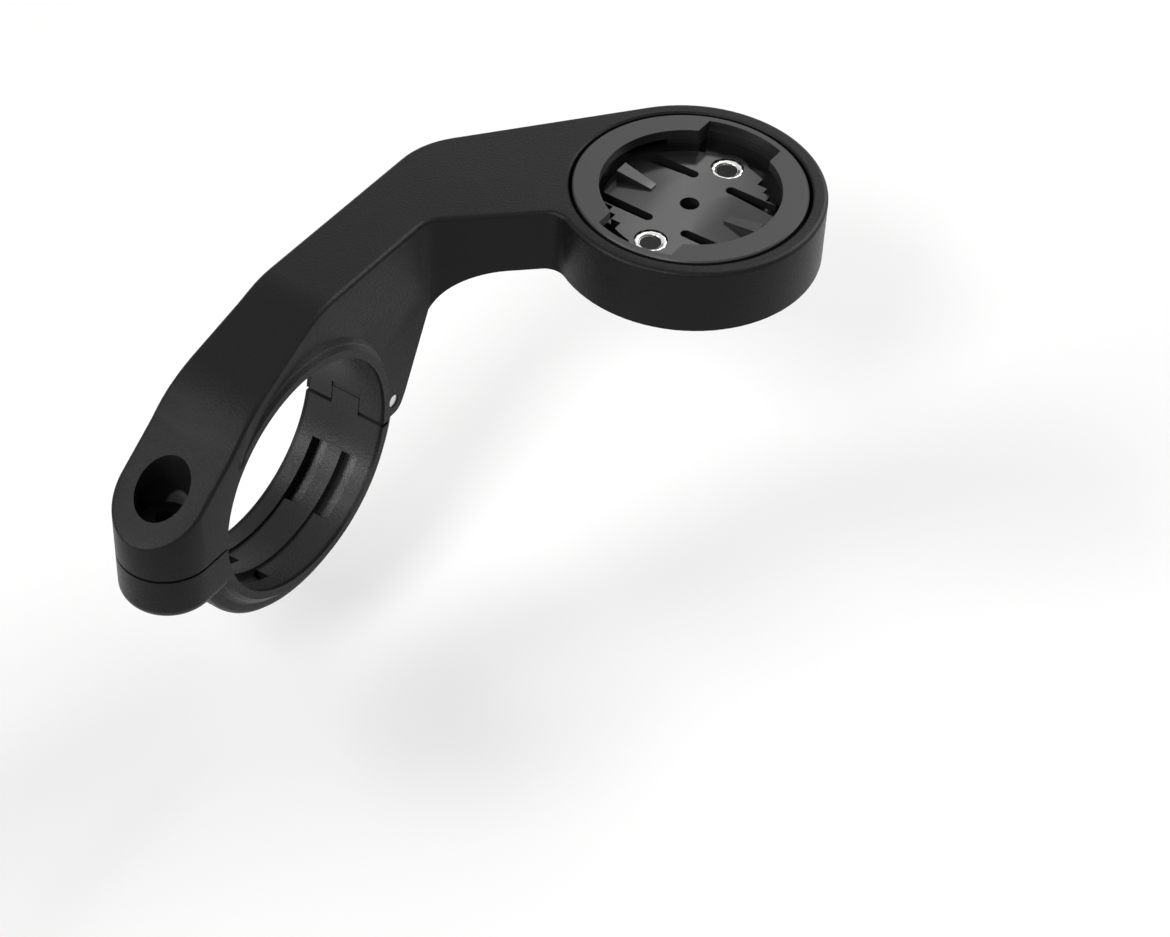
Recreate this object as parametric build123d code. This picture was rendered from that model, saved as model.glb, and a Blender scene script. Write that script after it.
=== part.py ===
from build123d import *
from math import cos, hypot, radians, sin, sqrt, tan
import os

# Out-front handlebar mount for a bicycle computer.
# The origin is the centre of the handlebar bore, at the middle of the clamp's width.
# +X runs along the handlebar, +Y forward over the front wheel, +Z up. Millimetres.

# Handlebar clamp, a ring in two halves
bar_r = 17.5
clamp_width = 13.7
ring_wall = 4.3
rim_wall = 1.2
rim_foot = 2.6
split_gap = 0.4
strap_edge_r = 1.0

# Arm
arm_width = 11.2
arm_top_z = 25.3
arm_depth = 10.1
saddle_angle = 110.0
boss_face_angle = 36.0
boss_face_inset = 0.35
flare_start_y = -14.0
flare_end_y = 3.0
inner_bend_y = 29.2
inner_bend_angle = 42.5
inner_bend_r = 4.0
outer_bend_angle = 51.0
outer_bend_r = 13.0
throat_r = 3.0
chin_angle = 58.0
chin_r = 7.6
arm_edge_r = 0.7
crest_r = 15.0
saddle_r = 20.0
flare_r = 60.0

# Hinge at the front of the ring
pin_r = 1.0
pin_z = -1.0
pin_set_back = 0.2
barrel_clear = 0.1
pin_fit = 0.02
pin_running = 0.05
barrel_r = 2.3
tongue_width = 4.6
tongue_side_gap = 0.15
tongue_end_gap = 0.25
shoulder_gap = 0.6
cheek_width = 13.3

# Screw boss at the back of the ring
boss_r = 6.87
screw_set_back = 4.4
counterbore_r = 3.85
counterbore_floor_z = 2.4
boss_foot_z = -7.6
boss_foot_r = 2.2
screw_hole_r = 2.2

# Clamp screw and its captive nut
screw_head_r = 3.5
screw_head_h = 2.8
screw_core_r = 1.6
screw_length = 10.0
screw_key_flats = 2.5
screw_key_depth = 1.5
screw_edge = 0.3
nut_flats = 7.0
nut_height = 3.2
nut_thread_r = 2.06
nut_side_gap = 0.1

# Grooves in the strap's bore, deeper in a pocket at each end
groove_inner_x = 1.25
groove_outer_x = 4.0
groove_start = 33.0
groove_end = 140.0
groove_pocket = 32.0
groove_depth = 0.45
pocket_depth = 1.6

# Round head of the arm, with the recess for the quarter-turn disc
head_x = 30.8
head_y = 57.3
head_r = 19.33
recess_r = 17.2
recess_depth = 6.4
recess_edge = 0.25

# Quarter-turn disc
disc_gap = 0.55
disc_edge = 0.2
socket_r = 12.92
lip_thickness = 1.5
notch_r = 15.58
notch_half_width = 5.95
under_lip_r = 15.2
plate_drop = 3.12
plate_thickness = 1.2
plate_r = 12.15
disc_base = 1.0
disc_base_r = 10.5
post_r = 3.1
centre_hole_r = 1.4
stop_inner_r = 13.4
stop_end = 136.0
nick_r = 10.85
nick_angles = (60.0, 49.5, 40.0)

# Spring leaves cut in the plate, and the wedge on each
slot_y = 6.0
slot_width = 1.6
slot_end_x = 3.2
fold_x = 4.2
fold_drop = 0.3
leaf_taper = 0.5
leaf_r = 12.4
wedge_tip_x = 6.05
wedge_end_x = 11.6
wedge_tip_rise = 0.2
wedge_end_rise = 1.2
wedge_tip_half = 0.68
wedge_end_half = 1.14

# Threaded inserts in the disc, and the screws that hold it from below
insert_y = 10.07
insert_r = 2.35
insert_length = 3.0
insert_hole_r = 1.45
insert_seat = 0.03
insert_sink = 0.15
insert_lead = 0.3
disc_screw_r = 1.4
disc_screw_length = 4.6
disc_screw_head_r = 2.75
disc_screw_head_h = 1.65
disc_screw_hole_r = 1.6
disc_counterbore_r = 2.95
disc_counterbore_depth = 1.9
disc_key_flats = 2.0
disc_key_depth = 0.9

# Places that follow from the sizes above
half_clamp = clamp_width / 2
half_arm = arm_width / 2
half_gap = split_gap / 2
half_tongue = tongue_width / 2
ring_r = bar_r + ring_wall
rim_r = bar_r + rim_wall
rim_foot_r = bar_r + rim_foot
cheek_half = cheek_width / 2
pin_y = bar_r + barrel_r + barrel_clear
screw_y = -(bar_r + screw_set_back)
pin_at = (pin_y, pin_z)
ear_z = pin_z - barrel_r
shoulder_z = ear_z - shoulder_gap
head_at = (head_x, head_y)
head_base_z = arm_top_z - arm_depth
recess_floor_z = arm_top_z - recess_depth
disc_r = recess_r - disc_gap
lip_z = arm_top_z - lip_thickness
plate_z = arm_top_z - plate_drop
disc_base_z = recess_floor_z + disc_base
insert_places = [(head_x, head_y + side * insert_y) for side in (1, -1)]
far = 5 * ring_r


def slab(sketch, half_width):
    """A side-view (Y, Z) sketch made solid, as wide to the left as to the right."""
    return extrude(Plane.YZ * sketch, amount=half_width, both=True)


def upright(sketch, z_low, z_high):
    """A plan-view (X, Y) sketch made solid between two heights."""
    return extrude(Plane.XY.offset(z_low) * sketch, amount=z_high - z_low)


def polygon(*points):
    """A filled polygon with its corners in order."""
    return make_face(Polyline(*points, close=True))


def disc_at(at, radius):
    """A filled circle about a point of the sketch."""
    return Pos(*at) * Circle(radius)


def pillar(at, radius, z_low, z_high):
    """An upright cylinder about a point of the plan."""
    return upright(disc_at(at, radius), z_low, z_high)


def cross_pin(at, radius, half_length):
    """A cylinder along X about a point of the side view."""
    return slab(disc_at(at, radius), half_length)


def block(x_low, x_high, y_low, y_high):
    """A filled rectangle between its sides."""
    return polygon((x_low, y_low), (x_high, y_low), (x_high, y_high), (x_low, y_high))


def wedge(start, end):
    """A wide pie slice of the sketch from one angle to another, less than a half turn."""
    first = (far * cos(radians(start)), far * sin(radians(start)))
    last = (far * cos(radians(end)), far * sin(radians(end)))
    return polygon((0, 0), first, last)


def nearest_vertex(sketch, point):
    """The sketch's corner nearest to a point."""
    return sketch.vertices().sort_by_distance((point[0], point[1], 0))[0]


def arm_plan():
    """The arm from above: flared tail, straight neck, and the two bends out to the head."""
    turn = radians(outer_bend_angle)
    touch = (head_x - head_r * sin(turn), head_y + head_r * cos(turn))
    outer_corner = (-half_arm, touch[1] - (touch[0] + half_arm) * tan(turn))
    inner_corner = (half_arm, inner_bend_y)
    lean = radians(inner_bend_angle)
    inner_end = (head_x, inner_bend_y + (head_x - half_arm) * tan(lean))
    neck = polygon((-half_arm, 0), outer_corner, touch, head_at, inner_end, inner_corner, (half_arm, 0))
    neck = fillet(nearest_vertex(neck, outer_corner), outer_bend_r)
    neck = fillet(nearest_vertex(neck, inner_corner), inner_bend_r)
    # The inner side runs until its line crosses the head's circle
    across = (head_x - half_arm, head_y - inner_bend_y)
    forward = across[0] * cos(lean) + across[1] * sin(lean)
    aside = across[1] * cos(lean) - across[0] * sin(lean)
    reach = forward - sqrt(head_r**2 - aside**2)
    throat = (half_arm + reach * cos(lean), inner_bend_y + reach * sin(lean))
    outline = neck + disc_at(head_at, head_r)
    outline = fillet(nearest_vertex(outline, throat), throat_r) + tail_plan()
    for side in (1, -1):
        outline = fillet(nearest_vertex(outline, (side * half_arm, flare_end_y)), flare_r)
    return outline


def tail_plan():
    """The clamp's back from above: the round screw boss and the flare into the ring."""
    flare = polygon((-boss_r, screw_y), (-boss_r, flare_start_y), (-half_arm, flare_end_y),
                    (half_arm, flare_end_y), (boss_r, flare_start_y), (boss_r, screw_y))
    for side in (1, -1):
        flare = fillet(nearest_vertex(flare, (side * boss_r, flare_start_y)), flare_r)
    return flare + disc_at((0, screw_y), boss_r)


def arm_side():
    """The arm from the side: ring, boss face, saddle, level top, and the chin under the neck."""
    rise = radians(saddle_angle)
    leave = (ring_r * cos(rise), ring_r * sin(rise))
    crest_y = leave[0] + (arm_top_z - leave[1]) / tan(rise - radians(90))
    chin = radians(chin_angle)
    low = (pin_y + barrel_r * sin(chin), pin_z - barrel_r * cos(chin))
    chin_corner = (low[0] + (head_base_z - low[1]) / tan(chin), head_base_z)
    neck = polygon((0, 0), leave, (crest_y, arm_top_z), (far, arm_top_z), (far, head_base_z),
                   chin_corner, low, pin_at)
    neck = fillet(nearest_vertex(neck, chin_corner), chin_r)
    neck = fillet(nearest_vertex(neck, (crest_y, arm_top_z)), crest_r)
    back_y = screw_y - 2 * boss_r
    front_y = -0.7 * bar_r
    boss = polygon((back_y, -far), (back_y, boss_face_height(back_y)),
                   (front_y, boss_face_height(front_y)), (front_y, -far))
    outline = disc_at((0, 0), ring_r) + boss
    outline = fillet(nearest_vertex(outline, saddle_corner()), saddle_r)
    return (outline & above_split()) + neck + disc_at(pin_at, barrel_r) + block(0, pin_y, ear_z, 0)


def boss_face_height(y):
    """Height of the boss's sloping face. Its line cuts a little into the ring's outside."""
    slope = radians(boss_face_angle)
    return (ring_r - boss_face_inset + y * sin(slope)) / cos(slope)


def saddle_corner():
    """Where the ring's outside meets the line of the boss's face, in the side view."""
    slope = radians(boss_face_angle)
    stand = ring_r - boss_face_inset
    along = sqrt(ring_r**2 - stand**2)
    return (-stand * sin(slope) - along * cos(slope), stand * cos(slope) - along * sin(slope))


def above_split():
    """All of the side view above the split between the clamp's halves."""
    return block(-far, far, half_gap, far)


def ears_side():
    """All of the side view above the split, and in front down to the ears' ends."""
    return above_split() + block(0, far, ear_z, far)


def round_edges(solid, wanted, radius):
    """Round the edges whose middle passes the test."""
    chosen = [edge for edge in solid.edges() if wanted(edge.position_at(0.5))]
    return fillet(chosen, radius)


def make_arm():
    """One moulding: upper half ring, screw boss, ears, neck and round head."""
    body = slab(arm_side(), far) & upright(arm_plan(), -far, far)
    body = fillet([edge for edge in body.edges() if is_top_edge(edge)], arm_edge_r)
    body += make_cheeks()
    body += turned(rim_outline()) & slab(ears_side(), far)
    body -= cross_pin((0, 0), bar_r, far)
    body -= slab(tongue_pocket(), half_tongue + tongue_side_gap)
    body -= cross_pin(pin_at, pin_r + pin_fit, far)
    body -= pillar((0, screw_y), counterbore_r, counterbore_floor_z, far)
    body -= pillar((0, screw_y), screw_hole_r, -far, counterbore_floor_z)
    body -= pillar(head_at, recess_r, recess_floor_z, far)
    mouth = pillar(head_at, recess_r + recess_edge, arm_top_z - recess_edge, arm_top_z + recess_edge)
    body -= chamfer(mouth.edges().filter_by(GeomType.CIRCLE).sort_by(Axis.Z)[0], recess_edge)
    for place in insert_places:
        body -= pillar(place, disc_screw_hole_r, head_base_z - 1, recess_floor_z)
        body -= pillar(place, disc_counterbore_r, head_base_z - 1, head_base_z + disc_counterbore_depth)
    return body


def make_cheeks():
    """The arm's thicker foot at the hinge: full width at the pin, tapering up into its sides."""
    side = arm_side() & block(0.7 * bar_r, far, -far, far)
    taper = polygon((-cheek_half, -far), (cheek_half, -far), (cheek_half, pin_z),
                    (half_arm, head_base_z), (-half_arm, head_base_z), (-cheek_half, pin_z))
    return slab(side, cheek_half) & extrude(Plane.XZ * taper, amount=far, both=True)


def turned(outline):
    """An outline drawn as distance along the handlebar and radius, turned about the bore."""
    return revolve(outline, Axis.X)


def rim_outline():
    """Half the ring's section beside the arm: a flat rim at the bore that slopes down outwards."""
    return polygon((-half_clamp, 0), (-half_clamp, rim_r), (-half_arm, rim_foot_r),
                   (half_arm, rim_foot_r), (half_clamp, rim_r), (half_clamp, 0))


def is_top_edge(edge):
    """Whether an edge runs round the rim of the arm's upper surface."""
    at = edge.position_at(0.5)
    upright_seam = abs(edge.tangent_at(0.5).Z) > 0.95
    level = abs(at.Z - arm_top_z) < 0.01 and at.Y > bar_r
    beside = abs(at.X) > 0.9 * half_arm and at.Y < bar_r and at.Z > 0.4 * ring_r
    tip = at.Y < screw_y - 0.9 * boss_r and at.Z > half_gap + 1
    return not upright_seam and (level or beside or tip)


def tongue_pocket():
    """Room between the ears for the strap's tongue, at rest and as it swings forward."""
    neck_reach = hypot(sqrt(ring_r**2 - shoulder_z**2) - pin_y, shoulder_z - pin_z)
    swing = disc_at(pin_at, neck_reach + tongue_end_gap)
    swept = swing & (Pos(*pin_at) * (wedge(-100, 20)))
    return disc_at(pin_at, barrel_r + tongue_end_gap) + swept + block(0, pin_y, -far, pin_z)


def make_strap():
    """The lower half of the clamp: half ring with a tongue in front and the nut's boss behind."""
    below = block(-far, 0, -far, -half_gap) + block(0, far, -far, shoulder_z)
    ring = turned(band_outline() + rim_outline()) & slab(below, far)
    tail = upright(tail_plan(), boss_foot_z, -half_gap)
    tail &= slab(block(-far, 0, -far, -half_gap), far)
    tail = round_edges(tail, lambda at: abs(at.Z - boss_foot_z) < 0.01 and at.Y < flare_end_y - 1, boss_foot_r)
    strap = ring + tail
    neck = disc_at((0, 0), ring_r) & block(0, far, shoulder_z - 1, pin_z)
    strap += slab(disc_at(pin_at, barrel_r) + neck, half_tongue)
    strap -= cross_pin((0, 0), bar_r, far)
    strap -= cross_pin(pin_at, pin_r + pin_running, far)
    strap -= pillar((0, screw_y), screw_hole_r, -far, far)
    strap -= upright(Pos(0, screw_y) * hexagon(nut_flats + 2 * nut_side_gap), -far, boss_foot_z + nut_height)
    for side in (1, -1):
        strap -= groove(side)
    return strap


def band_outline():
    """Half the strap ring's section: its outer edges follow their rounding in three flats."""
    rounded = []
    for turn in (0, 30, 60, 90):
        across = half_arm - strap_edge_r * (1 - cos(radians(turn)))
        out = ring_r - strap_edge_r * (1 - sin(radians(turn)))
        rounded.append((across, out))
    other_side = [(-across, out) for across, out in reversed(rounded)]
    return polygon((half_arm, 0), *rounded, *other_side, (-half_arm, 0))


def hexagon(flats):
    """A hexagon given by the distance between its flats."""
    return RegularPolygon(flats / 2, 6, major_radius=False)


def groove(side):
    """One groove round the strap's bore, with a deeper pocket at each end."""
    shallow = disc_at((0, 0), bar_r + groove_depth) & wedge(-groove_end, -groove_start)
    pockets = wedge(-groove_start - groove_pocket, -groove_start)
    pockets += wedge(-groove_end, -groove_end + groove_pocket)
    deep = disc_at((0, 0), bar_r + pocket_depth) & pockets
    width = groove_outer_x - groove_inner_x
    return extrude(Plane.YZ.offset(side * groove_inner_x) * (shallow + deep), amount=side * width)


def make_pin():
    """The steel hinge pin, its ends a little below the cheeks."""
    return cross_pin(pin_at, pin_r, cheek_half - pin_set_back)


def make_screw(at, head_z, head_r, head_h, shank_r, length, key_flats, key_depth, points_up):
    """A socket screw with its head's bearing face at head_z, pointing down or up."""
    way = 1 if points_up else -1
    crown = head_z - way * head_h
    head = pillar(at, head_r, min(head_z, crown), max(head_z, crown))
    head = chamfer(head.edges().sort_by(Axis.Z)[0 if crown < head_z else -1], screw_edge)
    tip = head_z + way * length
    shank = pillar(at, shank_r, min(head_z, tip), max(head_z, tip))
    key_end = crown + way * key_depth
    key = upright(Pos(*at) * hexagon(key_flats), min(crown, key_end), max(crown, key_end))
    return head + shank - key


def make_clamp_screw():
    """The low-headed screw that closes the clamp, driven from above."""
    return make_screw((0, screw_y), counterbore_floor_z, screw_head_r, screw_head_h, screw_core_r,
                      screw_length, screw_key_flats, screw_key_depth, points_up=False)


def make_nut():
    """The captive nut in the strap's boss."""
    top = boss_foot_z + nut_height
    nut = upright(Pos(0, screw_y) * hexagon(nut_flats), boss_foot_z, top)
    return nut - pillar((0, screw_y), nut_thread_r, -far, far)


def make_disc():
    """The quarter-turn socket: wall and lips, sprung plate, posts for the inserts, and stops."""
    wall = Circle(disc_r) - Circle(under_lip_r)
    rim = Circle(disc_r) - Circle(notch_r)
    lips = Circle(notch_r) - Circle(socket_r) - Rectangle(2 * notch_half_width, 4 * disc_r)
    base = Circle(disc_r) - Circle(disc_base_r)
    disc = upright(wall, recess_floor_z, lip_z)
    disc += upright(rim + lips, lip_z, arm_top_z)
    outside = [edge for edge in disc.edges().filter_by(GeomType.CIRCLE) if abs(edge.radius - disc_r) < 0.01]
    disc = chamfer(ShapeList(outside).sort_by(Axis.Z)[-1], disc_edge)
    disc += upright(base, recess_floor_z, disc_base_z)
    for half_turn in (0, 180):
        disc += Rot(0, 0, half_turn) * make_stop()
    plate = Circle(plate_r) - centre_slots() - plate_nicks()
    disc += upright(plate, plate_z - plate_thickness, plate_z)
    for side in (1, -1):
        disc += pillar((0, side * insert_y), post_r, recess_floor_z, plate_z)
    for half_turn in (0, 180):
        disc += Rot(0, 0, half_turn) * make_leaf()
    disc -= pillar((0, 0), centre_hole_r, -far, far)
    for side in (1, -1):
        disc -= pillar((0, side * insert_y), insert_r + insert_seat, -far, far)
    return Pos(head_x, head_y, 0) * disc


def centre_slots():
    """The plate's cut-away: each leaf's place and the slots beside it."""
    leaf_half = slot_y - slot_width / 2
    cut = block(fold_x, far, -leaf_half, leaf_half) + block(-far, -fold_x, -leaf_half, leaf_half)
    for x_side in (1, -1):
        for y_side in (1, -1):
            slot = block(0, far, -slot_width / 2, slot_width / 2) + Circle(slot_width / 2)
            if x_side < 0:
                slot = Rot(0, 0, 180) * slot
            cut += Pos(x_side * slot_end_x, y_side * slot_y) * slot
    return cut


def plate_nicks():
    """The small steps in the plate's edge beside each post, the same after half a turn."""
    nicks = Sketch()
    for angle in nick_angles:
        corner = (nick_r * cos(radians(angle)), nick_r * sin(radians(angle)))
        nicks += block(corner[0], far, corner[1], far)
    return nicks + Rot(0, 0, 180) * nicks


def make_leaf():
    """The right-hand spring leaf, folded down and tapered, with the wedge that clicks in."""
    leaf_half = slot_y - slot_width / 2
    overlap = 0.01
    under = plate_z - plate_thickness
    profile = polygon((fold_x - overlap, plate_z), (leaf_r, plate_z - fold_drop),
                      (leaf_r, under - fold_drop), (fold_x - overlap, under))
    leaf = extrude(Plane.XZ * profile, amount=leaf_half, both=True)
    tapered = polygon((0, -leaf_half), (fold_x, -leaf_half), (leaf_r, leaf_taper - leaf_half),
                      (leaf_r, leaf_half - leaf_taper), (fold_x, leaf_half), (0, leaf_half))
    leaf &= upright(tapered & Circle(leaf_r), -far, far)
    ramp = polygon((wedge_tip_x, plate_z + wedge_tip_rise), (wedge_end_x, plate_z + wedge_end_rise),
                   (wedge_end_x, under), (wedge_tip_x, under))
    tooth = extrude(Plane.XZ * ramp, amount=leaf_half, both=True)
    tooth &= upright(polygon((wedge_tip_x, -wedge_tip_half), (wedge_end_x, -wedge_end_half),
                             (wedge_end_x, wedge_end_half), (wedge_tip_x, wedge_tip_half)), -far, far)
    return leaf + tooth


def make_stop():
    """The block under the lip that lets the computer turn one way only."""
    sector_ring = (Circle(under_lip_r) - Circle(stop_inner_r)) & wedge(90, stop_end)
    beside_notch = block(-far, -notch_half_width, 0, far)
    return upright(sector_ring & beside_notch, recess_floor_z, lip_z)


def make_insert(place):
    """A threaded insert with a small lead-in, its top just below the plate."""
    top = plate_z - insert_sink
    insert = pillar(place, insert_r, top - insert_length, top)
    insert -= pillar(place, insert_hole_r, -far, far)
    mouth = [edge for edge in insert.edges() if abs(edge.position_at(0.5).Z - top) < 0.01]
    return chamfer(sorted(mouth, key=lambda edge: edge.length)[0], insert_lead)


def make_disc_screw(place):
    """The screw that holds the disc, driven from under the head."""
    return make_screw(place, head_base_z + disc_counterbore_depth, disc_screw_head_r, disc_screw_head_h,
                      disc_screw_r, disc_screw_length, disc_key_flats, disc_key_depth, points_up=True)


def all_parts():
    """Every piece of the mount, by name."""
    parts = {
        "arm": make_arm(),
        "clamp_strap": make_strap(),
        "hinge_pin": make_pin(),
        "clamp_screw": make_clamp_screw(),
        "clamp_nut": make_nut(),
        "quarter_turn_disc": make_disc(),
    }
    for name, place in zip(("front", "rear"), insert_places):
        parts[f"threaded_insert_{name}"] = make_insert(place)
        parts[f"disc_screw_{name}"] = make_disc_screw(place)
    return parts


os.makedirs("parts", exist_ok=True)
for name, solid in all_parts().items():
    export_step(solid, f"parts/{name}.step")
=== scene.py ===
from math import pi, radians

import bpy
import numpy as np
from bpy.props import FloatProperty, IntProperty, PointerProperty, StringProperty
from bpy.types import Operator, Panel, PropertyGroup
from mathutils import Matrix, Vector


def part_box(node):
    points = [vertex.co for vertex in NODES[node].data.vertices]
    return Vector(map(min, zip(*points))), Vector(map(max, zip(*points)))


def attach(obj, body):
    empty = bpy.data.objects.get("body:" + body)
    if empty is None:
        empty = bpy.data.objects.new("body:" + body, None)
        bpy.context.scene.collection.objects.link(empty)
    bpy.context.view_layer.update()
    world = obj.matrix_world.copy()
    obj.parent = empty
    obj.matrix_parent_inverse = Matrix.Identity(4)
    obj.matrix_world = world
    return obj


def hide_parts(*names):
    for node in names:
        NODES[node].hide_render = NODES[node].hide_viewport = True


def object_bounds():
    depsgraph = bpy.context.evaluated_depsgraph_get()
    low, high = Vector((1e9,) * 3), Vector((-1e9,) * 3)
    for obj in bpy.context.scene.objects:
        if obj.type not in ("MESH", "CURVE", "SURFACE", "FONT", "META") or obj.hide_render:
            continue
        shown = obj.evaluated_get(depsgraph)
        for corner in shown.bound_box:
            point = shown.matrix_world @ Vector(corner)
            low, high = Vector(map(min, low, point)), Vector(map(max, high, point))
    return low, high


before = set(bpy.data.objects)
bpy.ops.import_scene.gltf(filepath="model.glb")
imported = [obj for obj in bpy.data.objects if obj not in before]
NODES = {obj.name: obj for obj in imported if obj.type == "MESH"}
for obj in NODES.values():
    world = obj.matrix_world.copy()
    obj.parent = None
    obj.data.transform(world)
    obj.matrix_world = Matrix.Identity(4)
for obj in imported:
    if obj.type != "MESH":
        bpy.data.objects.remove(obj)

bl_info = {
    "name": "Out-front computer mount",
    "version": (1, 0, 0),
    "blender": (4, 5, 0),
    "location": "View3D > Sidebar > Mount",
    "description": "Dresses a handlebar mount for a bicycle computer and sets its studio",
    "category": "Object",
}

MM = 0.001
CAD_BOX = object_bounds()

# The pieces of black moulding, of black steel, and the threaded inserts
MOULDINGS = ("arm", "clamp_strap")
DISC = "quarter_turn_disc"
BLACK_STEEL = ("clamp_screw", "clamp_nut", "disc_screw_front", "disc_screw_rear")
INSERTS = ("threaded_insert_front", "threaded_insert_rear")

# Points closer than this are one, and an edge sharper than this stays crisp
WELD_MM = 0.002
CRISP_EDGE = radians(28)

# Distances in mm from the bar's axis, each from where a change starts to where it ends: from the
# bore's wall to the floors of its grooves, and past the deepest pocket. The last is along the bar,
# just inside the moulding's flat faces
GROOVE_FLOORS_MM = (18.2, 18.6)
BORE_END_MM = (19.3, 19.5)
BORE_SIDES_MM = (6.1, 6.4)
# The bore's wall takes this share of the painted paler tone, which stands in for reflected light,
# and of the core's smoothness, and the floors of its grooves take all of it
WALL_SHARE = 0.5
# How much smoother the core leaves the nylon, and how far its pebbled skin spreads the roughness
CORE_SMOOTHER = 0.18
SKIN_SPREAD = 0.1
NYLON_IOR = 1.53

# Heights in mm between the disc's plate and its rim, and the roughness of each
PLATE_TO_RIM_MM = (22.4, 22.7)
PLATE_ROUGHNESS = 0.1
RIM_ROUGHNESS = 0.34

# How much smoother and how much rougher the grain makes a metal
METAL_SPREAD = (0.06, 0.08)

# An insert's points round it, its rings outside and in the thread, and the bevel of its rim, in
# and down
INSERT_TURNS = 192
WALL_RINGS = 12
THREAD_RINGS = 90
RIM_IN_MM = 0.1
RIM_DOWN_MM = 0.08

# The photograph's camera, worked out from the circles of the clamp and the socket
CAMERA_AT = Vector((194.7, -232.3, 284.8)) * MM
CAMERA_RIGHT = Vector((0.8303, 0.5559, 0.0388))
CAMERA_UP = Vector((-0.4063, 0.5562, 0.7250))
CAMERA_LENS = 92.31
SENSOR_WIDTH = 36.0

# Metres: half the floor's side, and how far out the paper turns into a plain white sweep
FLOOR_HALF = 3.0
SWEEP = (0.2, 0.8)

# Each soft box: its name, its place and side in metres, and the property that holds its power
SOFT_BOXES = (
    # High in front, so that its shadow falls just behind the mount
    ("key", (0.15, -0.69, 0.7), 0.2, "key_power"),
    # Behind and to the right, it lies on the level tops and on the head's far wall
    ("back_box", (0.25, 0.75, 0.65), 0.8, "back_power"),
    # Low at the front left, it shines into the bore and its grooves
    ("left_box", (-0.45, -0.8, 0.4), 0.35, "left_power"),
    # Its reflection lies on the boss's sloping face
    ("upper_left_box", (-0.47, -0.48, 0.745), 0.3, "boss_power"),
)
STRIP_AT = (-0.329, 0.679, 0.578)
STRIP_SIDES = (0.055, 0.3)

COLOURS = {"data_type": "RGBA"}


def linear(hex_colour):
    """A colour written as sRGB hex, as linear red, green, blue and 1."""
    parts = [int(hex_colour[place:place + 2], 16) / 255 for place in (1, 3, 5)]
    return [c / 12.92 if c <= 0.04045 else ((c + 0.055) / 1.055) ** 2.4 for c in parts] + [1.0]


def add(tree, kind, settings=None, **sockets):
    """One node with its settings.

    A socket goes by its name, with _ for a space, or by _ and its number where names repeat.
    It takes a value, or another node's output as a link.
    """
    made = tree.nodes.new(kind)
    for name, value in (settings or {}).items():
        setattr(made, name, value)
    for name, value in sockets.items():
        numbered = name[1:].isdigit()
        socket = made.inputs[int(name[1:]) if numbered else name.replace("_", " ")]
        if isinstance(value, bpy.types.NodeSocket):
            tree.links.new(value, socket)
        else:
            socket.default_value = value
    return made


def new_material(name):
    """An empty node material and its node tree."""
    material = bpy.data.materials.new(name)
    material.use_nodes = True
    material.node_tree.nodes.clear()
    return material, material.node_tree


def cycles_per(size_mm):
    """The scale of a pattern that repeats once in so many millimetres, on metre coordinates."""
    return 1.0 / (size_mm * MM)


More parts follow.
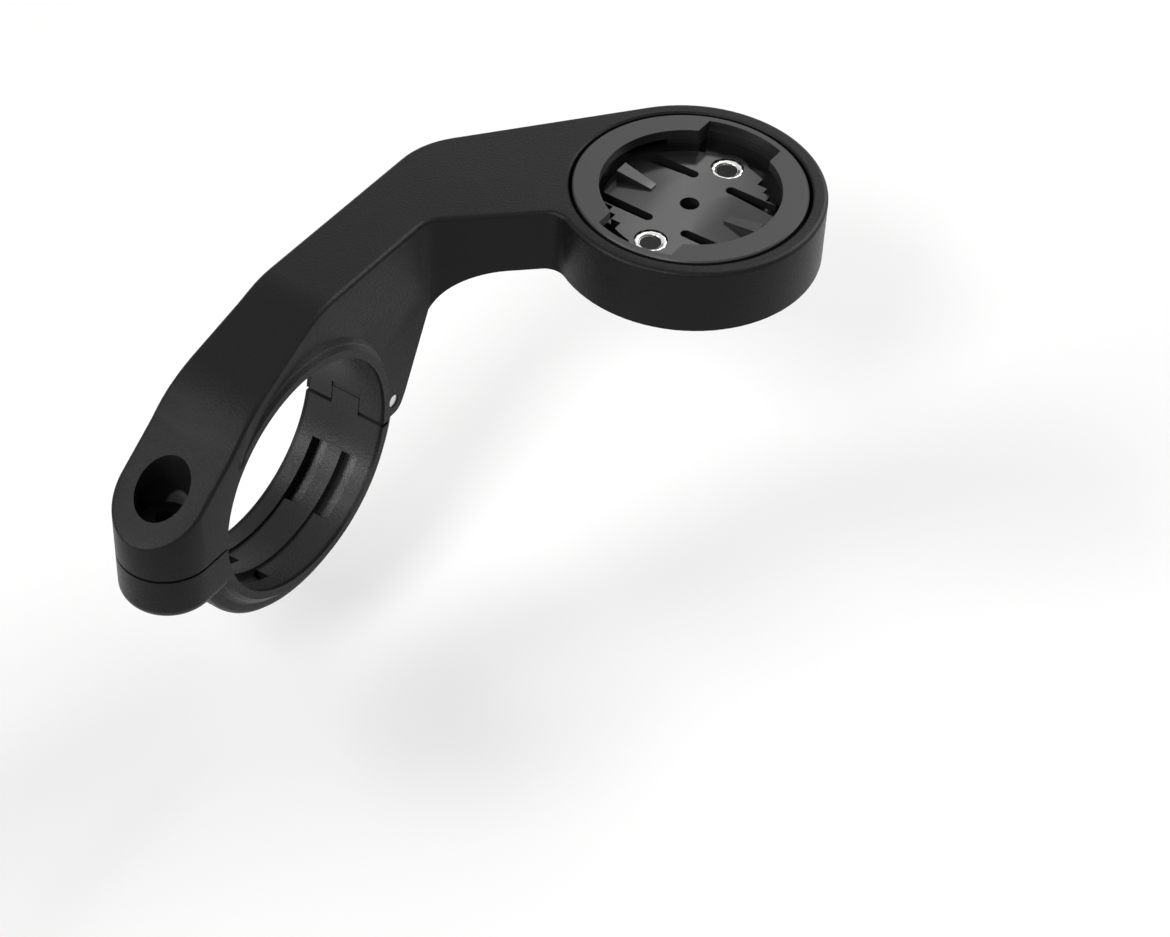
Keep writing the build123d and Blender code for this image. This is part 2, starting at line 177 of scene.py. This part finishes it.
def moulded_nylon(sizes):
    """Glass-filled nylon 6, injection moulded in a spark-eroded tool.

    The tool leaves a fine pebbled skin, so a highlight breaks into small bright specks,
    and the short fibres under it make the black a little uneven. The bore was shaped by the
    tool's polished core, which leaves it smoother. The bore also carries a painted paler tone,
    strongest on its groove floors, which is painted reflected light.
    """
    material, tree = new_material("moulded_glass_filled_nylon")
    place = add(tree, "ShaderNodeTexCoord").outputs["Object"]
    grain = add(tree, "ShaderNodeTexNoise", Vector=place, Scale=cycles_per(sizes.grain_mm),
                Detail=3.0, Roughness=0.65)
    pebble = add(tree, "ShaderNodeTexVoronoi", Vector=place,
                 Scale=cycles_per(1.6 * sizes.grain_mm))
    cloud = add(tree, "ShaderNodeTexNoise", Vector=place, Scale=cycles_per(9.0), Detail=4.0,
                Roughness=0.6)
    plain = add(tree, "ShaderNodeMix", COLOURS, Factor=cloud.outputs["Fac"],
                _6=linear(sizes.nylon_dark), _7=linear(sizes.nylon_light))
    # How far a point is from the bore's axis tells the bore and its groove floors from the rest
    across = add(tree, "ShaderNodeVectorMath", {"operation": "MULTIPLY"}, _0=place,
                 _1=(0.0, 1.0, 1.0))
    reach = add(tree, "ShaderNodeVectorMath", {"operation": "LENGTH"},
                _0=across.outputs[0]).outputs["Value"]
    depth = add(tree, "ShaderNodeMapRange", Value=reach, From_Min=GROOVE_FLOORS_MM[0] * MM,
                From_Max=GROOVE_FLOORS_MM[1] * MM, To_Min=WALL_SHARE, To_Max=1.0)
    inside = add(tree, "ShaderNodeMapRange", Value=reach, From_Min=BORE_END_MM[0] * MM,
                 From_Max=BORE_END_MM[1] * MM, To_Min=1.0, To_Max=0.0)
    bore = add(tree, "ShaderNodeMath", {"operation": "MULTIPLY"}, _0=depth.outputs[0],
               _1=inside.outputs[0])
    # The moulding's two flat faces are no part of the bore
    along = add(tree, "ShaderNodeMath", {"operation": "ABSOLUTE"},
                _0=add(tree, "ShaderNodeSeparateXYZ", Vector=place).outputs["X"])
    between = add(tree, "ShaderNodeMapRange", Value=along.outputs[0],
                  From_Min=BORE_SIDES_MM[0] * MM, From_Max=BORE_SIDES_MM[1] * MM, To_Min=1.0,
                  To_Max=0.0)
    core_smooth_and_painted_light = add(tree, "ShaderNodeMath", {"operation": "MULTIPLY"}, _0=bore.outputs[0],
               _1=between.outputs[0])
    # Painted light: the bore, and most of all its groove floors, is painted a paler tone that stands
    # in for the light it reflects
    colour = add(tree, "ShaderNodeMix", COLOURS, Factor=core_smooth_and_painted_light.outputs[0], _6=plain.outputs[2],
                 _7=linear(sizes.bore_painted_light))
    pitted = add(tree, "ShaderNodeMapRange", Value=grain.outputs["Fac"], From_Min=0.3,
                 From_Max=0.7, To_Min=sizes.nylon_roughness - SKIN_SPREAD,
                 To_Max=sizes.nylon_roughness + SKIN_SPREAD)
    rough = add(tree, "ShaderNodeMath", {"operation": "MULTIPLY_ADD"}, _0=core_smooth_and_painted_light.outputs[0],
                _1=-CORE_SMOOTHER, _2=pitted.outputs[0])
    height = add(tree, "ShaderNodeMath", {"operation": "ADD"}, _0=grain.outputs["Fac"],
                 _1=pebble.outputs["Distance"])
    bump = add(tree, "ShaderNodeBump", Height=height.outputs[0], Strength=0.5,
               Distance=0.045 * MM)
    skin = add(tree, "ShaderNodeBsdfPrincipled", Base_Color=colour.outputs[2],
               Roughness=rough.outputs[0], IOR=NYLON_IOR, Specular_IOR_Level=0.12,
               Normal=bump.outputs[0])
    add(tree, "ShaderNodeOutputMaterial", Surface=skin.outputs[0])
    return material


def satin_nylon(sizes):
    """Unfilled nylon, moulded in a smooth tool and matted by handling.

    It is smoother than the arm, so its flats catch the light in broad soft gradients. Its
    plate comes off a polished face and mirrors a lamp as a band.
    """
    material, tree = new_material("satin_moulded_nylon")
    place = add(tree, "ShaderNodeTexCoord").outputs["Object"]
    grain = add(tree, "ShaderNodeTexNoise", Vector=place, Scale=cycles_per(0.35), Detail=2.0,
                Roughness=0.5)
    flow = add(tree, "ShaderNodeTexNoise", Vector=place, Scale=cycles_per(6.0), Detail=3.0,
               Roughness=0.5)
    colour = add(tree, "ShaderNodeMix", COLOURS, Factor=flow.outputs["Fac"],
                 _6=linear(sizes.disc_dark), _7=linear(sizes.disc_light))
    # The plate is lower than the rim, so the height tells one from the other
    height = add(tree, "ShaderNodeSeparateXYZ", Vector=place).outputs["Z"]
    level = add(tree, "ShaderNodeMapRange", Value=height, From_Min=PLATE_TO_RIM_MM[0] * MM,
                From_Max=PLATE_TO_RIM_MM[1] * MM, To_Min=PLATE_ROUGHNESS, To_Max=RIM_ROUGHNESS)
    rough = add(tree, "ShaderNodeMath", {"operation": "MULTIPLY_ADD"}, _0=flow.outputs["Fac"],
                _1=0.08, _2=level.outputs[0])
    bump = add(tree, "ShaderNodeBump", Height=grain.outputs["Fac"], Strength=0.12,
               Distance=0.02 * MM)
    skin = add(tree, "ShaderNodeBsdfPrincipled", Base_Color=colour.outputs[2],
               Roughness=rough.outputs[0], IOR=NYLON_IOR, Specular_IOR_Level=0.39,
               Normal=bump.outputs[0])
    add(tree, "ShaderNodeOutputMaterial", Surface=skin.outputs[0])
    return material


def metal(name, light, dark, roughness, grain_mm, depth_mm):
    """A metal with a worked surface: two tones in a fine grain that also breaks its shine."""
    material, tree = new_material(name)
    place = add(tree, "ShaderNodeTexCoord").outputs["Object"]
    grain = add(tree, "ShaderNodeTexNoise", Vector=place, Scale=cycles_per(grain_mm), Detail=3.0,
                Roughness=0.6)
    colour = add(tree, "ShaderNodeMix", COLOURS, Factor=grain.outputs["Fac"], _6=linear(dark),
                 _7=linear(light))
    rough = add(tree, "ShaderNodeMapRange", Value=grain.outputs["Fac"],
                To_Min=roughness - METAL_SPREAD[0], To_Max=roughness + METAL_SPREAD[1])
    bump = add(tree, "ShaderNodeBump", Height=grain.outputs["Fac"], Strength=0.2,
               Distance=depth_mm * MM)
    skin = add(tree, "ShaderNodeBsdfPrincipled", Base_Color=colour.outputs[2], Metallic=1.0,
               Roughness=rough.outputs[0], Normal=bump.outputs[0])
    add(tree, "ShaderNodeOutputMaterial", Surface=skin.outputs[0])
    return material


def dress(name, material):
    """Gives a CAD node its material, and smooth shading that keeps its edges crisp."""
    piece = NODES[name]
    piece.data.materials.clear()
    piece.data.materials.append(material)
    piece.data.shade_smooth()
    weld = piece.modifiers.new("weld", "WELD")
    weld.merge_threshold = WELD_MM * MM
    crisp = piece.modifiers.new("crisp_edges", "EDGE_SPLIT")
    crisp.split_angle = CRISP_EDGE


def grid_piece(name, points, material, body):
    """A closed piece from a grid of points that wraps round both ways: points[ring, turn, xyz]."""
    rings, turns = points.shape[:2]
    ring, turn = np.meshgrid(np.arange(rings), np.arange(turns), indexing="ij")
    after, beside = (ring + 1) % rings, (turn + 1) % turns
    corners = [ring * turns + turn, ring * turns + beside, after * turns + beside,
               after * turns + turn]
    faces = np.stack([corner.ravel() for corner in corners], axis=1)
    mesh = bpy.data.meshes.new(name)
    mesh.from_pydata(points.reshape(-1, 3).tolist(), [], faces.tolist())
    mesh.shade_smooth()
    mesh.materials.append(material)
    mesh.update()
    piece = bpy.data.objects.new(name, mesh)
    bpy.context.scene.collection.objects.link(piece)
    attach(piece, body)
    return piece


def insert_points(low, high, sizes):
    """A threaded insert between two corners of its box, as rings of points about its axis.

    The radius is a profile carried round the axis. Outside it is the insert's radius less the
    knurl, a cosine of the angle. Inside it is the thread's crest plus a V of the height over
    the pitch less the turn, which is what makes it a helix.
    """
    centre = (low + high) / 2
    outer = (high.x - low.x) / 2
    angle = np.linspace(0, 2 * pi, INSERT_TURNS, endpoint=False)
    lead = sizes.insert_lead_mm * MM
    crest = sizes.thread_radius_mm * MM
    pitch = sizes.thread_pitch_mm * MM
    up = np.linspace(low.z, high.z - RIM_DOWN_MM * MM, WALL_RINGS)
    down = np.linspace(high.z, low.z, THREAD_RINGS)
    knurl = (1 - np.cos(angle * sizes.knurl_teeth)) / 2 * sizes.knurl_depth_mm * MM
    wall = outer - knurl[None, :] * np.ones((WALL_RINGS, 1))
    wall_z = up[:, None] * np.ones((1, INSERT_TURNS))
    rim = (outer - knurl - RIM_IN_MM * MM)[None, :]
    rim_z = np.full((1, INSERT_TURNS), high.z)
    phase = (down[:, None] / pitch - angle[None, :] / (2 * pi)) % 1
    depth = np.abs(phase - 0.5) * 2 * sizes.thread_depth_mm * MM
    inside = crest + depth + np.clip(lead - (high.z - down), 0, None)[:, None]
    inside_z = down[:, None] * np.ones((1, INSERT_TURNS))
    radius = np.concatenate([wall, rim, inside])
    height = np.concatenate([wall_z, rim_z, inside_z])
    x = centre.x + radius * np.cos(angle)
    y = centre.y + radius * np.sin(angle)
    return np.stack([x, y, height], axis=2)


class MOUNT_PG_sizes(PropertyGroup):
    """Sizes and colours that a user of the mount would change"""
    nylon_dark: StringProperty(
        name="Nylon, dark", description="Darker tone of the arm and strap", default="#0d0d0e")
    nylon_light: StringProperty(
        name="Nylon, light", description="Lighter tone of the arm and strap", default="#141415")
    # Painted light: a paler tone painted on the bore and its groove floors, standing in for the
    # light they reflect
    bore_painted_light: StringProperty(
        name="Nylon, bore", description="Tone where the tool's polished core shaped the bore",
        default="#464647")
    nylon_roughness: FloatProperty(
        name="Nylon roughness", description="How matt the arm is", default=0.38, min=0.0,
        max=1.0, subtype="FACTOR")
    grain_mm: FloatProperty(
        name="Grain", description="Size of the spark-eroded grain, mm", default=0.22)
    disc_dark: StringProperty(
        name="Disc, dark", description="Darker tone of the socket disc", default="#191919")
    disc_light: StringProperty(
        name="Disc, light", description="Lighter tone of the socket disc", default="#202021")
    knurl_teeth: IntProperty(
        name="Knurl teeth", description="Ridges round an insert", default=12)
    knurl_depth_mm: FloatProperty(
        name="Knurl depth", description="Depth of the ridges, mm", default=0.12)
    thread_radius_mm: FloatProperty(
        name="Thread radius", description="Radius at the thread's crest, mm", default=1.42)
    thread_pitch_mm: FloatProperty(
        name="Thread pitch", description="Pitch of the M3 thread, mm", default=0.5)
    thread_depth_mm: FloatProperty(
        name="Thread depth", description="Depth of the M3 thread, mm", default=0.17)
    insert_lead_mm: FloatProperty(
        name="Lead-in", description="Bevel at an insert's mouth, mm", default=0.3)


class MOUNT_PG_stage(PropertyGroup):
    """The studio round the mount"""
    floor_gap_mm: FloatProperty(
        name="Floor gap", description="Room under the clamp for its strap to swing open, mm",
        default=27.0)
    floor_colour: StringProperty(
        name="Floor", description="Colour of the floor", default="#eeeeed")
    floor_glow: FloatProperty(
        name="Floor glow", description="White added to the floor where it is seen", default=0.15)
    key_power: FloatProperty(
        name="Key light", description="Power of the lamp that throws the shadow", default=3.4,
        subtype="POWER")
    back_power: FloatProperty(
        name="Back box", description="Power of the soft box behind", default=9.6,
        subtype="POWER")
    left_power: FloatProperty(
        name="Left box", description="Power of the soft box at the front left", default=4.2,
        subtype="POWER")
    boss_power: FloatProperty(
        name="Upper left box", description="Power of the small box over the left", default=2.0,
        subtype="POWER")
    strip_power: FloatProperty(
        name="Strip light", description="Power of the narrow light mirrored in the plate",
        default=0.11, subtype="POWER")


class MOUNT_OT_mouldings(Operator):
    """Dress the arm and the clamp strap in moulded nylon"""
    bl_idname = "mount.mouldings"
    bl_label = "Arm and strap"

    def execute(self, context):
        material = moulded_nylon(context.scene.mount_sizes)
        for name in MOULDINGS:
            dress(name, material)
        return {"FINISHED"}


class MOUNT_OT_disc(Operator):
    """Dress the quarter-turn disc in satin nylon"""
    bl_idname = "mount.disc"
    bl_label = "Quarter-turn disc"

    def execute(self, context):
        dress(DISC, satin_nylon(context.scene.mount_sizes))
        return {"FINISHED"}


class MOUNT_OT_steel(Operator):
    """Dress the screws, the nut and the hinge pin"""
    bl_idname = "mount.steel"
    bl_label = "Screws, nut and pin"

    def execute(self, context):
        # Steel with a hot black oxide: almost no colour, and a soft oily shine
        black = metal("black_oxide_steel", "#2b2b2c", "#161617", roughness=0.38, grain_mm=0.4,
                      depth_mm=0.01)
        for name in BLACK_STEEL:
            dress(name, black)
        # Ground stainless rod, cropped and deburred: bright, with a fine bloom
        bright = metal("ground_stainless_steel", "#e9e9e7", "#c4c4c2", roughness=0.3,
                       grain_mm=0.15, depth_mm=0.006)
        dress("hinge_pin", bright)
        return {"FINISHED"}


class MOUNT_OT_inserts(Operator):
    """Make the knurled, threaded inserts of the disc"""
    bl_idname = "mount.inserts"
    bl_label = "Threaded inserts"

    def execute(self, context):
        # Turned brass with a nickel plate: a near white mirror, broken by tool marks
        material = metal("nickel_plated_brass", "#eae9e6", "#c6c5c2", roughness=0.2,
                         grain_mm=0.2, depth_mm=0.004)
        for name in INSERTS:
            low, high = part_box(name)
            points = insert_points(low, high, context.scene.mount_sizes)
            piece = grid_piece("knurled_" + name, points, material, "mount")
            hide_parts(name)
        return {"FINISHED"}


class MOUNT_OT_stage(Operator):
    """Set the floor, the soft lights and the camera"""
    bl_idname = "mount.stage"
    bl_label = "Studio"

    def execute(self, context):
        stage = context.scene.mount_stage
        make_floor(stage)
        make_lights(stage)
        make_camera()
        context.scene.view_settings.view_transform = "Standard"
        return {"FINISHED"}


class MOUNT_PT_panel(Panel):
    """Buttons for the mount's pieces and its studio"""
    bl_label = "Mount"
    bl_space_type = "VIEW_3D"
    bl_region_type = "UI"
    bl_category = "Mount"

    def draw(self, context):
        for group in (context.scene.mount_sizes, context.scene.mount_stage):
            for name in group.__annotations__:
                self.layout.prop(group, name)
        for operator in OPERATORS:
            self.layout.operator(operator.bl_idname)


def seen_or_mirrored(tree):
    """One for a ray that the eye sees straight, in a mirror or through glass, else nought."""
    path = add(tree, "ShaderNodeLightPath")
    first = add(tree, "ShaderNodeMath", {"operation": "MAXIMUM"},
                _0=path.outputs["Is Camera Ray"], _1=path.outputs["Is Glossy Ray"])
    known = add(tree, "ShaderNodeMath", {"operation": "MAXIMUM"}, _0=first.outputs[0],
                _1=path.outputs["Is Transmission Ray"])
    return known.outputs[0]


def make_floor(stage):
    """A wide pale floor with room under the clamp for its strap to swing open.

    It is matt white paper, which keeps a soft shadow, with a little white added where it is
    seen or mirrored. Further out it is plain white, and from below it is clear.
    """
    low, _ = CAD_BOX
    z = low.z - stage.floor_gap_mm * MM
    half = FLOOR_HALF
    mesh = bpy.data.meshes.new("floor")
    mesh.from_pydata([(-half, -half, z), (half, -half, z), (half, half, z), (-half, half, z)],
                     [], [(0, 1, 2, 3)])
    material, tree = new_material("matt_white_paper")
    grain = add(tree, "ShaderNodeTexNoise",
                Vector=add(tree, "ShaderNodeTexCoord").outputs["Object"],
                Scale=cycles_per(40.0), Detail=2.0)
    tint = add(tree, "ShaderNodeMix", COLOURS, Factor=grain.outputs["Fac"],
               _6=linear(stage.floor_colour), _7=linear("#f0f0ef"))
    paper = add(tree, "ShaderNodeBsdfDiffuse", Color=tint.outputs[2])
    known = seen_or_mirrored(tree)
    glow = add(tree, "ShaderNodeEmission", Color=linear("#fbfcff"), Strength=stage.floor_glow)
    both = add(tree, "ShaderNodeAddShader", _0=paper.outputs[0], _1=glow.outputs[0])
    # Away from the mount the lamps don't reach the paper, and it is a plain white sweep
    place = add(tree, "ShaderNodeTexCoord").outputs["Object"]
    reach = add(tree, "ShaderNodeVectorMath", {"operation": "LENGTH"}, _0=place).outputs["Value"]
    away = add(tree, "ShaderNodeMapRange", {"interpolation_type": "SMOOTHSTEP"}, Value=reach,
               From_Min=SWEEP[0], From_Max=SWEEP[1])
    sweep = add(tree, "ShaderNodeEmission", Color=linear("#ffffff"), Strength=1.0)
    white = add(tree, "ShaderNodeMixShader", _0=away.outputs[0], _1=both.outputs[0],
                _2=sweep.outputs[0])
    lit = add(tree, "ShaderNodeMixShader", _0=known, _1=paper.outputs[0], _2=white.outputs[0])
    # From below the floor is clear, so that the underside can be looked at
    eye = add(tree, "ShaderNodeLightPath").outputs["Is Camera Ray"]
    under = add(tree, "ShaderNodeMath", {"operation": "MULTIPLY"}, _0=eye,
                _1=add(tree, "ShaderNodeNewGeometry").outputs["Backfacing"])
    clear = add(tree, "ShaderNodeBsdfTransparent")
    shown = add(tree, "ShaderNodeMixShader", _0=under.outputs[0], _1=lit.outputs[0],
                _2=clear.outputs[0])
    add(tree, "ShaderNodeOutputMaterial", Surface=shown.outputs[0])
    mesh.materials.append(material)
    floor = bpy.data.objects.new("floor", mesh)
    bpy.context.scene.collection.objects.link(floor)


def soft_light(name, place, side, power):
    """A square soft box at a place, turned to the middle of the mount. It is returned."""
    lamp = bpy.data.lights.new(name, "AREA")
    lamp.size = side
    lamp.energy = power
    box = bpy.data.objects.new(name, lamp)
    box.location = place
    middle = (CAD_BOX[0] + CAD_BOX[1]) / 2
    box.rotation_euler = (middle - Vector(place)).to_track_quat("-Z", "Y").to_euler()
    bpy.context.scene.collection.objects.link(box)
    return box


def make_lights(stage):
    """The soft boxes, the strip light, and a white surround that is only seen and mirrored."""
    for name, place, side, power in SOFT_BOXES:
        soft_light(name, place, side, getattr(stage, power))
    # A long narrow light behind, mirrored as a pale band across the polished plate
    strip = soft_light("strip_light", STRIP_AT, STRIP_SIDES[0], stage.strip_power)
    strip.data.shape = "RECTANGLE"
    strip.data.size_y = STRIP_SIDES[1]
    world = bpy.data.worlds.new("white_surround")
    world.use_nodes = True
    bpy.context.scene.world = world
    tree = world.node_tree
    tree.nodes.clear()
    around = add(tree, "ShaderNodeBackground", Color=linear("#ffffff"),
                 Strength=seen_or_mirrored(tree))
    add(tree, "ShaderNodeOutputWorld", Surface=around.outputs[0])


def make_camera():
    """The camera at the photograph's place, from its right and up directions."""
    data = bpy.data.cameras.new("camera")
    data.lens = CAMERA_LENS
    data.sensor_width = SENSOR_WIDTH
    data.sensor_fit = "HORIZONTAL"
    data.clip_start = 0.01
    camera = bpy.data.objects.new("camera", data)
    back = CAMERA_RIGHT.cross(CAMERA_UP)
    turn = Matrix((CAMERA_RIGHT, CAMERA_UP, back)).transposed().to_4x4()
    camera.matrix_world = Matrix.Translation(CAMERA_AT) @ turn
    bpy.context.scene.collection.objects.link(camera)
    bpy.context.scene.camera = camera


GROUPS = (MOUNT_PG_sizes, MOUNT_PG_stage)
OPERATORS = (MOUNT_OT_mouldings, MOUNT_OT_disc, MOUNT_OT_steel, MOUNT_OT_inserts, MOUNT_OT_stage)


def register():
    for item in GROUPS + OPERATORS + (MOUNT_PT_panel,):
        bpy.utils.register_class(item)
    bpy.types.Scene.mount_sizes = PointerProperty(type=MOUNT_PG_sizes)
    bpy.types.Scene.mount_stage = PointerProperty(type=MOUNT_PG_stage)


def unregister():
    del bpy.types.Scene.mount_sizes
    del bpy.types.Scene.mount_stage
    for item in reversed(GROUPS + OPERATORS + (MOUNT_PT_panel,)):
        bpy.utils.unregister_class(item)


def main():
    """Registers the add-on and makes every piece."""
    register()
    bpy.ops.mount.mouldings()
    bpy.ops.mount.disc()
    bpy.ops.mount.steel()
    bpy.ops.mount.inserts()
    bpy.ops.mount.stage()


if __name__ == "__main__":
    main()
